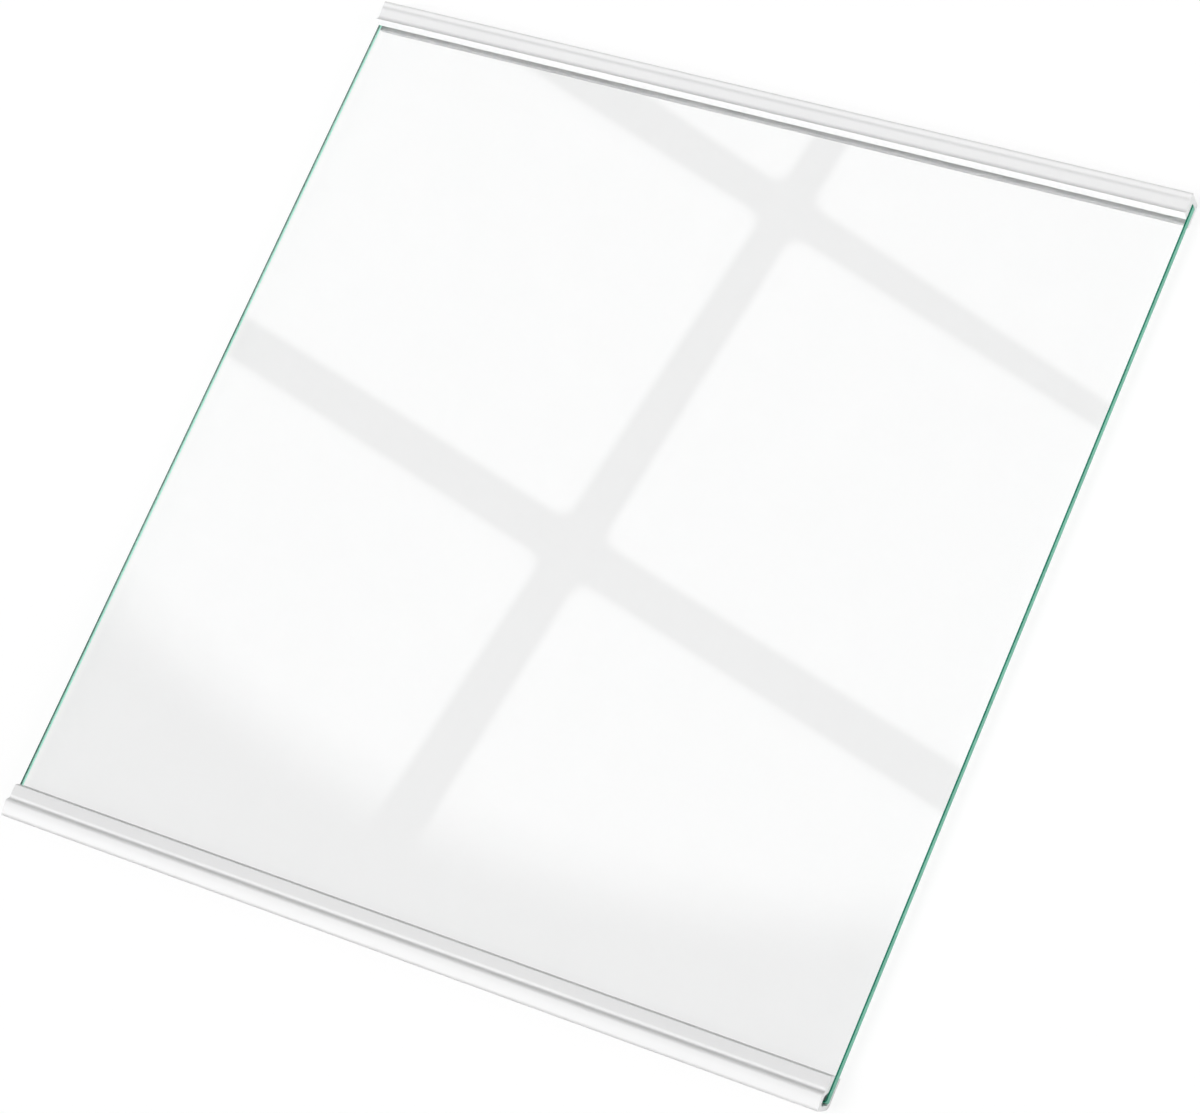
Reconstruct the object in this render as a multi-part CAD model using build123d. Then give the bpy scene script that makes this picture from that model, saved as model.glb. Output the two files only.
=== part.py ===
from build123d import *

import os
from math import cos, radians, tan

# Fridge glass shelf: a clear glass pane with a white extruded trim pushed on its front and rear edges.
# Millimetres. +X along the trims, +Y towards the rear, +Z up.
# The origin is the middle of the shelf's footprint, on the surface that the trims stand on.

# Glass pane
shelf_width = 401.0
glass_depth = 405.0
glass_thickness = 4.0
glass_arris = 0.5  # flat seam ground on every long edge
glass_corner_radius = 1.0

# How both trims hold the glass
trim_inset = 0.5  # the trims end short of the glass at each side
grip_clearance = 0.05  # between the glass and the channel, above and below
end_clearance = 0.25  # between the end of the glass and the channel's wall
leg_thickness = 2.5
leg_tip_radius = 0.5
channel_radius = 0.3  # in the inner corners of the channel

# Front trim, from the lip on the glass out to the nose
front_lip_lap = 11.15  # over the glass, from its front end
front_leg_lap = 11.65  # under the glass
front_lip_thickness = 3.4  # at the tip
front_lip_rise = 0.1  # from the tip to the dip
front_tip_slant = 1.25
front_tip_radius = 0.4
front_dip_lap = 5.0  # where the lip dips into the crease
front_dip_radius = 2.5
front_crease_run = 1.4  # from the dip to the crease
front_crease_drop = 0.24
front_crease_radius = 1.0
front_riser_slope = 50.0  # degrees, the step from the crease up to the crest
front_crest_rise = 1.98  # above the crease
front_crest_radius = 1.6
front_crown_slope = 10.0  # degrees, next to the crest
front_crown_run = 3.4  # to where the crown steepens
front_crown_radius = 12.0
front_nose_drop = 1.88  # the nose below the crest
front_nose_radius = 1.5
front_face_lean = 20.4  # degrees, the face below the nose falls back towards the chin
front_wall = 2.05
front_chin_radius = 3.0
front_crown_wall = 2.75
front_cavity_lap = 4.2  # the hollow under the crown, from the front end of the glass
front_cavity_slope = 46.0  # degrees
front_cavity_radius = 1.4

# Rear trim, from the lip on the glass out to the rear face
rear_lip_lap = 7.5
rear_leg_lap = 8.5
rear_ridge_rise = 4.8  # the ridge along the lip's tip
rear_ridge_slant = 0.8
rear_ridge_radius = 0.25
rear_ridge_fall = 54.0  # degrees, from the ridge into the valley behind it
rear_valley_share = 0.7  # of that fall, taken up by the rounding of the valley
rear_lip_slope = 13.0  # degrees, from the valley up to the hump
rear_hump_lap = 1.0
rear_hump_rise = 4.1
rear_hump_radius = 3.0
rear_crease_reach = 0.5  # behind the rear end of the glass
rear_crease_drop = 0.17  # below the hump
rear_crease_radius = 2.0
rear_rim_width = 1.25  # on top, up to the rear edge
rear_rim_rise = 0.3
rear_rim_radius = 1.2
rear_edge_radius = 0.75
rear_wall = 2.2  # at the underside
rear_face_lean = 4.0  # degrees, the rear face leans out towards the top
rear_heel_radius = 0.8

# Heights above the underside of the trims
glass_underside = leg_thickness + grip_clearance
glass_top = glass_underside + glass_thickness
lip_underside = glass_top + grip_clearance


def glass_pane():
    """Flat pane with seamed edges and slightly rounded corners."""
    with BuildPart() as pane:
        with BuildSketch(Plane.XY.offset(glass_underside)):
            RectangleRounded(shelf_width, glass_depth, glass_corner_radius)
        extrude(amount=glass_thickness)
        chamfer(pane.faces().filter_by(Axis.Z).edges(), glass_arris)
    return pane.part


def front_corners():
    """Corners of the front section as ((outward, up), radius), outward from the front end of the glass."""
    lean = tan(radians(front_face_lean))

    tip_top = lip_underside + front_lip_thickness
    dip_top = tip_top + front_lip_rise
    crease_top = dip_top - front_crease_drop
    crest_top = crease_top + front_crest_rise
    crown_top = crest_top - front_crown_run * tan(radians(front_crown_slope))
    nose_top = crest_top - front_nose_drop

    crease = front_crease_run - front_dip_lap
    crest = crease + front_crest_rise / tan(radians(front_riser_slope))
    crown = crest + front_crown_run

    # The face under the nose runs parallel to the channel's wall.
    chin = end_clearance + front_wall / cos(radians(front_face_lean)) - leg_thickness * lean
    nose = chin + nose_top * lean

    cavity_top = crest_top - front_crown_wall
    cavity_rise = cavity_top - lip_underside
    cavity_back = cavity_rise / tan(radians(front_cavity_slope)) - front_cavity_lap
    cavity_front = end_clearance + (cavity_top - leg_thickness) * lean

    return [
        ((-front_lip_lap, lip_underside), 0),
        ((front_tip_slant - front_lip_lap, tip_top), front_tip_radius),
        ((-front_dip_lap, dip_top), front_dip_radius),
        ((crease, crease_top), front_crease_radius),
        ((crest, crest_top), front_crest_radius),
        ((crown, crown_top), front_crown_radius),
        ((nose, nose_top), front_nose_radius),
        ((chin, 0), front_chin_radius),
        ((-front_leg_lap, 0), leg_tip_radius),
        ((-front_leg_lap, leg_thickness), leg_tip_radius),
        ((end_clearance, leg_thickness), channel_radius),
        ((cavity_front, cavity_top), front_cavity_radius),
        ((cavity_back, cavity_top), front_cavity_radius),
        ((-front_cavity_lap, lip_underside), 0),
    ]


def rear_corners():
    """Corners of the rear section as ((outward, up), radius), outward from the rear end of the glass."""
    ridge_top = lip_underside + rear_ridge_rise
    hump_top = lip_underside + rear_hump_rise
    crease_top = hump_top - rear_crease_drop
    rim_top = crease_top + rear_rim_rise

    # The valley is where the fall behind the ridge meets the slope up to the hump.
    ridge = rear_ridge_slant - rear_lip_lap
    fall = tan(radians(rear_ridge_fall))
    slope = tan(radians(rear_lip_slope))
    valley_run = (ridge_top - hump_top - slope * (ridge + rear_hump_lap)) / (fall + slope)
    valley_top = ridge_top - valley_run * fall
    fall_length = valley_run / cos(radians(rear_ridge_fall))
    valley_radius = rear_valley_share * fall_length / tan(radians(rear_ridge_fall + rear_lip_slope) / 2)

    heel = end_clearance + rear_wall
    rear_edge = heel + rim_top * tan(radians(rear_face_lean))

    return [
        ((-rear_lip_lap, lip_underside), 0),
        ((ridge, ridge_top), rear_ridge_radius),
        ((ridge + valley_run, valley_top), valley_radius),
        ((-rear_hump_lap, hump_top), rear_hump_radius),
        ((rear_crease_reach, crease_top), rear_crease_radius),
        ((rear_edge - rear_rim_width, rim_top), rear_rim_radius),
        ((rear_edge, rim_top), rear_edge_radius),
        ((heel, 0), rear_heel_radius),
        ((-rear_leg_lap, 0), leg_tip_radius),
        ((-rear_leg_lap, leg_thickness), leg_tip_radius),
        ((end_clearance, leg_thickness), channel_radius),
        ((end_clearance, lip_underside), channel_radius),
    ]


def trim(corners, side):
    """Section extruded between the insets, at the front (side -1) or the rear (side 1) of the glass."""
    glass_end = glass_depth / 2
    points = [(side * (glass_end + outward), up) for (outward, up), radius in corners]
    radii = [radius for point, radius in corners]
    with BuildPart() as extrusion:
        with BuildSketch(Plane.YZ):
            with BuildLine():
                FilletPolyline(*points, radius=radii, close=True)
            make_face()
        extrude(amount=shelf_width / 2 - trim_inset, both=True)
    return extrusion.part


pieces = {
    "glass_pane": glass_pane(),
    "front_trim": trim(front_corners(), -1),
    "rear_trim": trim(rear_corners(), 1),
}

# The front trim is deeper than the rear one, so the whole shelf is brought back over the origin.
nose_y = pieces["front_trim"].bounding_box().min.Y
rear_y = pieces["rear_trim"].bounding_box().max.Y
to_origin = Pos(0, -(nose_y + rear_y) / 2, 0)

os.makedirs("parts", exist_ok=True)
for name, piece in pieces.items():
    export_step(to_origin * piece, f"parts/{name}.step")
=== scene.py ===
from math import cos, radians, sin

import bpy
from mathutils import Matrix, Vector


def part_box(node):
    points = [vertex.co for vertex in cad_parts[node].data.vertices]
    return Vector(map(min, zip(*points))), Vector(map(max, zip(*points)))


# Fridge glass shelf: a clear pane with seamed green edges between two white extruded trims.
# Metres. +X along the trims, +Y towards the rear, +Z up.
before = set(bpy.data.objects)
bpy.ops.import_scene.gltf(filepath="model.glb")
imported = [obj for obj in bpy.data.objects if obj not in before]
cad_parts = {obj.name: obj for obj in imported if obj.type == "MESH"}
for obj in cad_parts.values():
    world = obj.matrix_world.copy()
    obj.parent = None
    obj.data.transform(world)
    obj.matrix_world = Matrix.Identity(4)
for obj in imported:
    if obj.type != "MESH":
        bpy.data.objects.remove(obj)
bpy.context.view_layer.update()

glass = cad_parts["glass_pane"]
trims = [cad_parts["front_trim"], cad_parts["rear_trim"]]
glass_low, glass_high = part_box("glass_pane")
glass_top = glass_high.z
glass_depth_middle = (glass_low.y + glass_high.y) / 2

# Camera, aimed at a point on the top of the glass
camera_aim = Vector((0.01400, glass_depth_middle - 0.01722, glass_top))
camera_distance = 1.667
camera_azimuth = radians(61.003)
camera_elevation = radians(60.089)
camera_roll = radians(-40.573)
camera_sensor = 36.0  # millimetres, like the lens
camera_lens = 118.365

# Light: an even sky with round soft boxes in it
sky_level = 0.22
horizon_level = 0.85  # pale surround near the horizon, as gloss and glass mirror it
horizon_fade = (6.0, 42.0)  # degrees up, from the surround to the sky
# Azimuth, elevation, full within and gone beyond (degrees from the middle), strength, strength in soft gloss
soft_boxes = [
    (-50.0, 53.0, 14.0, 22.0, 6.6, 6.6),
    (90.0, 8.0, 10.0, 38.0, 3.2, 0.0),
    (-119.0, 60.0, 12.0, 24.0, 0.0, 1.0),
]

# Strip lamp over the front of the glass that shines along it on the rear trim
strip_place = Vector((0.0, -0.17, 0.040))
strip_length = 0.8
strip_height = 0.05
strip_spread = radians(35.0)
strip_tilt = radians(90.0)  # upright, facing the rear
strip_power = 0.165

# Floor
floor_reach = 15.0
floor_bounce = 0.80  # as the light meets it
floor_bounce_front = 0.12  # in front of the shelf
floor_front = (-0.20, -0.17)  # Y, from the front's bounce to the full one
floor_right = (0.195, 0.215)  # X, the same beyond the right end
floor_shade = 0.15  # as it is seen, with the glow
floor_glow = 0.872

# Window mirrored in the glass: panes of light between soft bars, fading out in a circle
window_distance = 9.0
window_drawn_at = 1.8  # its sizes are given for this distance
window_reach = 0.75
window_rim = (0.62, 0.74)  # the card fades out between these distances from its middle
window_strength = 1.3
window_turn = radians(32.0)
window_post = (-0.0245, 0.005, 0.0380, -0.0166)  # middle, lean, width and taper, like the rails
window_rails = [(-0.0074, -0.0078, 0.0415, 0.005), (0.3448, -0.0179, 0.0328, -0.0238)]
window_bar_edge = 0.0055
window_bar_blend = 0.025  # rounds the inner corners of the panes
window_middle = (-0.114, 0.634)  # of the circle that the panes fade out in
window_radius = 0.918
window_fade = 0.045

# Glass
glass_ior = 1.52
face_tint = (0.954, 0.957, 0.956)
face_tint_far = (0.961, 0.964, 0.963)
face_cloud_scale = 6.0
wave_scale = 9.0
wave_stretch = (0.3, 1, 1)
wave_detail = 1.0
wave_strength = 0.5
wave_depth = 0.000025
land_outside = (0.245, 0.58, 0.445)
# the seams are painted far darker than the lands: painted shade along the arrises
seam_outside_painted_shade = (0.02, 0.22, 0.14)
edge_inside = (0.20, 0.90, 0.60)  # ground edges seen through the glass
edge_inside_top_painted_shade = (0.03, 0.26, 0.18)  # and their upper part, darkened as painted shade
edge_inside_rise = (-0.0026, -0.0024)  # where the pale part becomes the painted shade, from the top of the glass
edge_darker = 0.9  # darker patches on the outside
edge_cloud_scale = 45.0
grinding_scale = 900.0
grinding_stretch = (0.05, 0.05, 1)
edge_rough = (0.5, 0.7)
edge_gloss = 0.0  # specular level of the ground edges
land_marks = 0.2  # strength of the grinding marks
seam_marks = 0.3
flat_limit = 0.99  # |z| of a normal on the pane's flat faces
slope_limit = 0.2  # |z| of a normal on the ground seams

# White plastic
plastic_white = (0.86, 0.86, 0.86)
plastic_shade = (0.835, 0.836, 0.84)
plastic_ior = 1.5
plastic_rough = (0.30, 0.38)
plastic_marks = 0.25  # strength of the die lines and saw marks
plastic_cloud_scale = 30.0
plastic_cloud_stretch = (0.2, 1, 1)
die_line_scale = 700.0
die_line_stretch = (0.004, 1, 1)
grain_scale = 2600.0
grain_share = 0.3  # of its height, added to the die lines
saw_mark_scale = 1500.0
saw_mark_stretch = (1, 1, 0.08)
sawn_limits = (0.5, 0.9)  # |x| of a normal, from the extruded skin to the sawn ends
sawn_rough = 0.6

# Marks on plastic and ground glass
cloud_range = (0.3, 0.7)  # of the noise, from the one colour to the other
mark_range = (0.25, 0.75)  # of the noise, from the one roughness to the other
mark_detail = 3.0
mark_depth = 0.00001


def new_material(name):
    """New material, with its node tree and its Principled shader."""
    material = bpy.data.materials.new(name)
    material.use_nodes = True
    tree = material.node_tree
    shader = tree.nodes["Principled BSDF"]
    return material, tree, shader


def add(tree, kind, inputs=None, **settings):
    """New node of a kind. An input is a plain value or another node's output."""
    made = tree.nodes.new(kind)
    for name, value in settings.items():
        setattr(made, name, value)
    for name, value in (inputs or {}).items():
        if isinstance(value, bpy.types.NodeSocket):
            tree.links.new(value, made.inputs[name])
        else:
            made.inputs[name].default_value = value
    return made


def maths(tree, operation, first, second=0.0, third=0.0):
    """Output of a Math node."""
    inputs = {0: first, 1: second, 2: third}
    return add(tree, "ShaderNodeMath", inputs, operation=operation).outputs[0]


def ramp(tree, value, low, high, start=0.0, end=1.0):
    """Smooth step of a value, from start at low to end at high."""
    inputs = {"Value": value, "From Min": low, "From Max": high, "To Min": start, "To Max": end}
    return add(tree, "ShaderNodeMapRange", inputs, interpolation_type="SMOOTHSTEP").outputs[0]


def noise(tree, place, scale, stretch=(1, 1, 1), detail=2.0):
    """Noise from 0 to 1, scale cells to the metre, stretched along the axes."""
    mapped = add(tree, "ShaderNodeMapping", {"Vector": place, "Scale": stretch}).outputs[0]
    inputs = {"Vector": mapped, "Scale": scale, "Detail": detail}
    return add(tree, "ShaderNodeTexNoise", inputs).outputs["Fac"]


def blend_colours(tree, amount, first, second):
    """Colour between two colours, each a plain one or another node's output."""
    made = add(tree, "ShaderNodeMix", {"Factor": amount}, data_type="RGBA")
    for name, colour in (("A", first), ("B", second)):
        if isinstance(colour, bpy.types.NodeSocket):
            tree.links.new(colour, made.inputs[name])
        else:
            made.inputs[name].default_value = (*colour, 1)
    return made.outputs["Result"]


def bumps(tree, height, strength, depth):
    """Normal of a surface with a height on it."""
    inputs = {"Height": height, "Strength": strength, "Distance": depth}
    return add(tree, "ShaderNodeBump", inputs).outputs["Normal"]


def white_plastic():
    """Extruded plastic: faint die lines along X, a fine grain, and rougher sawn ends."""
    material, tree, shader = new_material("white_plastic")
    place = add(tree, "ShaderNodeTexCoord").outputs["Object"]
    normal = add(tree, "ShaderNodeNewGeometry").outputs["Normal"]
    sideways = add(tree, "ShaderNodeSeparateXYZ", {0: normal}).outputs["X"]
    sawn = ramp(tree, maths(tree, "ABSOLUTE", sideways), *sawn_limits)

    die_lines = noise(tree, place, die_line_scale, die_line_stretch, mark_detail)
    grain = noise(tree, place, grain_scale)
    cloud = noise(tree, place, plastic_cloud_scale, plastic_cloud_stretch)
    saw_marks = noise(tree, place, saw_mark_scale, saw_mark_stretch, mark_detail)

    colour = blend_colours(tree, ramp(tree, cloud, *cloud_range), plastic_white, plastic_shade)
    tree.links.new(colour, shader.inputs["Base Color"])

    skin = ramp(tree, die_lines, *mark_range, *plastic_rough)
    rough = add(tree, "ShaderNodeMix", {"Factor": sawn, "A": skin, "B": sawn_rough}).outputs["Result"]
    tree.links.new(rough, shader.inputs["Roughness"])

    fine = maths(tree, "MULTIPLY_ADD", grain, grain_share, die_lines)
    height = add(tree, "ShaderNodeMix", {"Factor": sawn, "A": fine, "B": saw_marks}).outputs["Result"]
    tree.links.new(bumps(tree, height, plastic_marks, mark_depth), shader.inputs["Normal"])
    shader.inputs["IOR"].default_value = plastic_ior
    return material


def clear_faces():
    """Top and underside of the pane: clear float glass with a faint roller wave."""
    material, tree, shader = new_material("clear_glass")
    place = add(tree, "ShaderNodeTexCoord").outputs["Object"]
    cloud = noise(tree, place, face_cloud_scale)
    colour = blend_colours(tree, cloud, face_tint, face_tint_far)
    tree.links.new(colour, shader.inputs["Base Color"])

    wave = noise(tree, place, wave_scale, wave_stretch, wave_detail)
    tree.links.new(bumps(tree, wave, wave_strength, wave_depth), shader.inputs["Normal"])

    shader.inputs["Transmission Weight"].default_value = 1.0
    shader.inputs["Roughness"].default_value = 0.0
    shader.inputs["IOR"].default_value = glass_ior
    return material


def ground_edge(name, outside, marks):
    """Ground edge of the pane: solid green from outside, and through the glass pale under a top darkened
    with painted shade.
    """
    material, tree, shader = new_material(name)
    place = add(tree, "ShaderNodeTexCoord").outputs["Object"]
    cloud = noise(tree, place, edge_cloud_scale)
    darker = tuple(edge_darker * part for part in outside)
    tint = blend_colours(tree, ramp(tree, cloud, *cloud_range), outside, darker)

    height = add(tree, "ShaderNodeSeparateXYZ", {0: place}).outputs["Z"]
    # inside, the edge's upper part is darkened with painted shade
    pale_up_to, painted_shade_from = (glass_top + rise for rise in edge_inside_rise)
    pale = ramp(tree, height, pale_up_to, painted_shade_from, 1.0, 0.0)
    inside = blend_colours(tree, pale, edge_inside_top_painted_shade, edge_inside)
    behind = add(tree, "ShaderNodeNewGeometry").outputs["Backfacing"]
    sided = blend_colours(tree, behind, tint, inside)
    tree.links.new(sided, shader.inputs["Base Color"])

    grinding = noise(tree, place, grinding_scale, grinding_stretch, mark_detail)
    tree.links.new(bumps(tree, grinding, marks, mark_depth), shader.inputs["Normal"])
    rough = ramp(tree, grinding, *mark_range, *edge_rough)
    tree.links.new(rough, shader.inputs["Roughness"])

    tree.links.new(maths(tree, "MULTIPLY", behind, pale), shader.inputs["Transmission Weight"])
    shader.inputs["IOR"].default_value = glass_ior
    shader.inputs["Specular IOR Level"].default_value = edge_gloss
    return material


def dress_glass():
    """Clear faces, upright lands and sloping seams of the pane, told apart by their normals."""
    mesh = glass.data
    mesh.materials.clear()
    mesh.materials.append(clear_faces())
    mesh.materials.append(ground_edge("glass_land", land_outside, land_marks))
    # seams in a dark green that is painted shade
    mesh.materials.append(ground_edge("glass_seam", seam_outside_painted_shade, seam_marks))
    for face in mesh.polygons:
        rise = abs(face.normal.z)
        if rise > flat_limit:
            face.material_index = 0
        elif rise < slope_limit:
            face.material_index = 1
        else:
            face.material_index = 2


def dress_trims():
    """Both trims are of the same plastic."""
    plastic = white_plastic()
    for trim in trims:
        trim.data.materials.clear()
        trim.data.materials.append(plastic)


def direction(azimuth, elevation):
    """Unit vector towards a place in the sky, with the azimuth from the front round to the right."""
    level = cos(elevation)
    return Vector((sin(azimuth) * level, -cos(azimuth) * level, sin(elevation)))


def camera_axes():
    """The camera's right, up and back directions."""
    back = direction(camera_azimuth, camera_elevation)
    level_right = Vector((cos(camera_azimuth), sin(camera_azimuth), 0))
    right = Matrix.Rotation(camera_roll, 3, back) @ level_right
    return right, back.cross(right), back


def facing(right, up, back, place):
    """Placement with its X, Y and Z along the three directions."""
    turned = Matrix((right, up, back)).transposed().to_4x4()
    return Matrix.Translation(place) @ turned


def square(name, reach, material):
    """Staged square about the origin, in its own XY plane."""
    mesh = bpy.data.meshes.new(name)
    corners = [(-reach, -reach, 0), (reach, -reach, 0), (reach, reach, 0), (-reach, reach, 0)]
    mesh.from_pydata(corners, [], [(0, 1, 2, 3)])
    mesh.materials.append(material)
    made = bpy.data.objects.new(name, mesh)
    bpy.context.scene.collection.objects.link(made)
    return made


def make_camera():
    """Camera at the photograph's viewing angle."""
    data = bpy.data.cameras.new("camera")
    data.sensor_fit = "HORIZONTAL"
    data.sensor_width = camera_sensor
    data.lens = camera_lens
    made = bpy.data.objects.new("camera", data)
    right, up, back = camera_axes()
    made.matrix_world = facing(right, up, back, camera_aim + camera_distance * back)
    bpy.context.scene.collection.objects.link(made)
    bpy.context.scene.camera = made


def make_sky():
    """Soft light from all round, a pale surround for gloss, and soft boxes kept out of the clear glass."""
    world = bpy.data.worlds.new("sky")
    world.use_nodes = True
    bpy.context.scene.world = world
    tree = world.node_tree
    towards = add(tree, "ShaderNodeTexCoord").outputs["Generated"]
    height = add(tree, "ShaderNodeSeparateXYZ", {0: towards}).outputs["Z"]
    low, high = (sin(radians(angle)) for angle in horizon_fade)
    surround = ramp(tree, height, low, high, horizon_level - sky_level, 0.0)
    rays = add(tree, "ShaderNodeLightPath").outputs
    light = maths(tree, "MULTIPLY_ADD", surround, rays["Is Glossy Ray"], sky_level)
    not_mirrored = maths(tree, "SUBTRACT", 1.0, rays["Is Singular Ray"])
    for azimuth, elevation, full, gone, strength, in_gloss in soft_boxes:
        middle = direction(radians(azimuth), radians(elevation))
        nearness = add(tree, "ShaderNodeVectorMath", {0: towards, 1: middle}, operation="DOT_PRODUCT")
        glow = ramp(tree, nearness.outputs["Value"], cos(radians(gone)), cos(radians(full)))
        power = maths(tree, "MULTIPLY_ADD", rays["Is Glossy Ray"], in_gloss - strength, strength)
        power = maths(tree, "MULTIPLY", power, not_mirrored)
        light = maths(tree, "MULTIPLY_ADD", glow, power, light)
    tree.links.new(light, tree.nodes["Background"].inputs["Strength"])
    tree.nodes["Background"].inputs["Color"].default_value = (1, 1, 1, 1)


def make_strip():
    """Lamp that faces the rear, out of sight."""
    data = bpy.data.lights.new("strip", "AREA")
    data.shape = "RECTANGLE"
    data.size = strip_length
    data.size_y = strip_height
    data.spread = strip_spread
    data.energy = strip_power
    data.cycles.use_multiple_importance_sampling = False
    made = bpy.data.objects.new("strip", data)
    made.matrix_world = Matrix.Translation(strip_place) @ Matrix.Rotation(strip_tilt, 4, "X")
    bpy.context.scene.collection.objects.link(made)


def make_floor():
    """White floor, seen with a glow of its own, that keeps the shelf's shadow."""
    material, tree, shader = new_material("floor")
    shader.inputs["Roughness"].default_value = 1.0
    shader.inputs["Specular IOR Level"].default_value = 0.0
    rays = add(tree, "ShaderNodeLightPath").outputs
    seen = maths(tree, "MAXIMUM", rays["Is Camera Ray"], rays["Is Glossy Ray"])
    seen = maths(tree, "MAXIMUM", seen, rays["Is Transmission Ray"])
    place = add(tree, "ShaderNodeTexCoord").outputs["Object"]
    axes = add(tree, "ShaderNodeSeparateXYZ", {0: place}).outputs
    behind = ramp(tree, axes["Y"], *floor_front, floor_bounce_front, floor_bounce)
    beside = ramp(tree, axes["X"], *floor_right, floor_bounce_front, floor_bounce)
    bounce = maths(tree, "MAXIMUM", behind, beside)
    white = add(tree, "ShaderNodeMix", {"Factor": seen, "A": bounce, "B": floor_shade}).outputs["Result"]
    tree.links.new(white, shader.inputs["Base Color"])
    tree.links.new(maths(tree, "MULTIPLY", seen, floor_glow), shader.inputs["Emission Strength"])
    shader.inputs["Emission Color"].default_value = (1, 1, 1, 1)
    square("floor", floor_reach, material)


def clear_of_bar(tree, across, along, bar):
    """Distance from the edge of a window bar, below 0 on the bar."""
    middle, lean, width, taper = bar
    line = maths(tree, "MULTIPLY_ADD", along, lean, middle)
    half = maths(tree, "MULTIPLY_ADD", along, taper / 2, width / 2)
    away = maths(tree, "ABSOLUTE", maths(tree, "SUBTRACT", across, line))
    return maths(tree, "SUBTRACT", away, half)


def window_light():
    """Light of the window's panes, see-through elsewhere."""
    material, tree, shader = new_material("window")
    tree.nodes.remove(shader)
    place = add(tree, "ShaderNodeTexCoord").outputs["Object"]
    axes = add(tree, "ShaderNodeSeparateXYZ", {0: place}).outputs
    from_middle = (*window_middle, 0)
    radius = add(tree, "ShaderNodeVectorMath", {0: place, 1: from_middle}, operation="DISTANCE")
    glow = ramp(tree, radius.outputs["Value"], window_radius - window_fade,
                window_radius + window_fade, window_strength, 0.0)
    clear = clear_of_bar(tree, axes["X"], axes["Y"], window_post)
    for rail in window_rails:
        clear_of_rail = clear_of_bar(tree, axes["Y"], axes["X"], rail)
        clear = maths(tree, "SMOOTH_MIN", clear, clear_of_rail, window_bar_blend)
    panes = ramp(tree, clear, -window_bar_edge, window_bar_edge)
    glow = maths(tree, "MULTIPLY", glow, panes)
    outwards = add(tree, "ShaderNodeVectorMath", {0: place}, operation="LENGTH").outputs["Value"]
    glow = maths(tree, "MULTIPLY", glow, ramp(tree, outwards, *window_rim, 1.0, 0.0))

    lit = add(tree, "ShaderNodeEmission", {"Strength": glow}).outputs[0]
    through = add(tree, "ShaderNodeBsdfTransparent").outputs[0]
    both = add(tree, "ShaderNodeAddShader", {0: lit, 1: through}).outputs[0]
    tree.links.new(both, tree.nodes["Material Output"].inputs["Surface"])
    material.cycles.emission_sampling = "NONE"
    return material


def make_window():
    """Card that only mirrored rays meet, square to the camera's view mirrored in the pane."""
    made = square("window", window_reach, window_light())
    upside_down = Vector((1, 1, -1))
    right, up, back = (axis * upside_down for axis in camera_axes())
    ahead = -back
    turn = Matrix.Rotation(-window_turn, 4, "Z")
    enlarge = Matrix.Scale((camera_distance + window_distance) / (camera_distance + window_drawn_at), 4)
    place = camera_aim + window_distance * ahead
    made.matrix_world = facing(right, up, right.cross(up), place) @ turn @ enlarge
    made.visible_camera = False
    made.visible_diffuse = False
    made.visible_shadow = False


dress_glass()
dress_trims()
make_camera()
make_sky()
make_strip()
make_floor()
make_window()
bpy.context.scene.view_settings.view_transform = "Standard"
